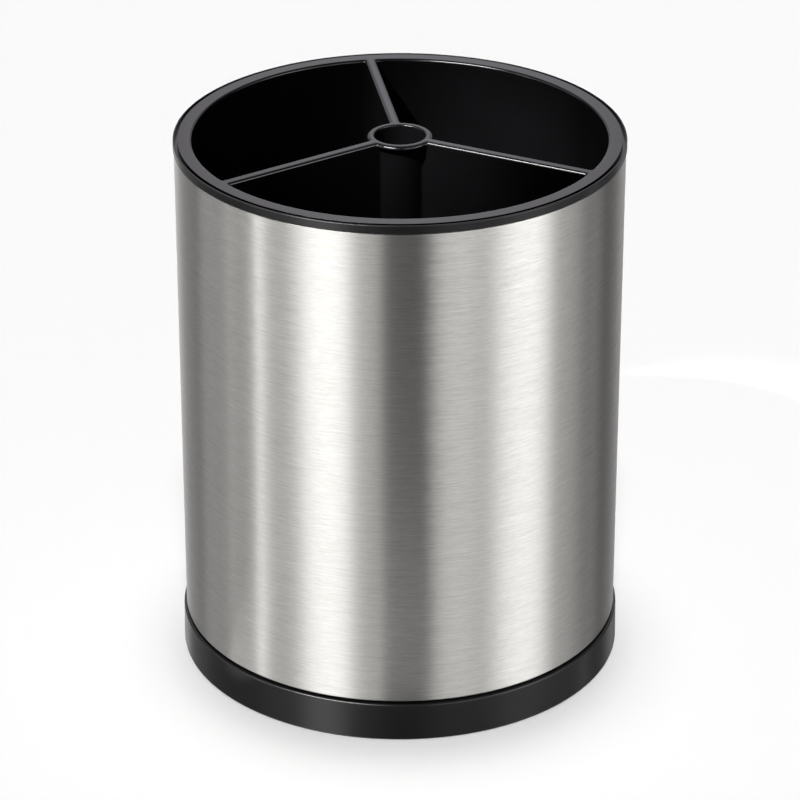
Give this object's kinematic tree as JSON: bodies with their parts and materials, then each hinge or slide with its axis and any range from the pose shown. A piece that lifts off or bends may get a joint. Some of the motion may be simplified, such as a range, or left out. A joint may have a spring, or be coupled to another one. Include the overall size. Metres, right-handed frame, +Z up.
{
  "type": "rotating utensil holder",
  "caption": "Round countertop utensil holder: a brushed steel drum turning on a weighted black base, with a lift-out divided insert and a central tube.",
  "frame": {"origin": "on the bench, on the axis that the drum turns about, at the underside of the foot pads", "axes": "+Z up along the drum's axis; -Y towards the front, the side that faces the wide front compartment"},
  "size_m": [0.1546, 0.1546, 0.1909],
  "materials": {
    "brushed_stainless": "circumferential brushed satin",
    "black_trim": "satin moulded ABS",
    "black_insert": "semi-gloss moulded ABS",
    "plain_steel": "zinc plated or bright steel",
    "foot_rubber": "matt rubber"
  },
  "bodies": {
    "base": {"base_housing": "black_trim", "ballast_plate": "plain_steel", "base_cover": "black_trim", "lower_race": "plain_steel", "cover_screw_1": "plain_steel", "cover_screw_2": "plain_steel", "cover_screw_3": "plain_steel", "cover_screw_4": "plain_steel", "foot_pad_1": "foot_rubber", "foot_pad_2": "foot_rubber", "foot_pad_3": "foot_rubber", "foot_pad_4": "foot_rubber", "foot_pad_5": "foot_rubber", "foot_pad_6": "foot_rubber"},
    "cage": {"ball_cage": "black_trim", "bearing_ball_01": "plain_steel", "bearing_ball_02": "plain_steel", "bearing_ball_03": "plain_steel", "bearing_ball_04": "plain_steel", "bearing_ball_05": "plain_steel", "bearing_ball_06": "plain_steel", "bearing_ball_07": "plain_steel", "bearing_ball_08": "plain_steel", "bearing_ball_09": "plain_steel", "bearing_ball_10": "plain_steel", "bearing_ball_11": "plain_steel", "bearing_ball_12": "plain_steel"},
    "drum": {"drum_shell": "brushed_stainless", "top_collar": "black_trim", "drum_floor": "black_trim", "upper_race": "plain_steel", "pivot_washer": "plain_steel", "pivot_screw": "plain_steel"},
    "insert": {"divider_insert": "black_insert"}
  },
  "joints": [
    {"name": "drum_spin", "type": "hinge", "parent": "base", "child": "drum", "pos_m": [0, 0, 0.0125], "axis": [0, 0, 1], "continuous": true},
    {"name": "cage_spin", "type": "hinge", "parent": "base", "child": "cage", "pos_m": [0, 0, 0.0125], "axis": [0, 0, 1], "continuous": true},
    {"name": "insert_lift", "type": "slide", "parent": "drum", "child": "insert", "axis": [0, 0, 1], "range_m": [0, 0.18]}
  ],
  "couplings": [
    {"joint": "cage_spin", "follows": "drum_spin", "ratio": 0.5}
  ]
}
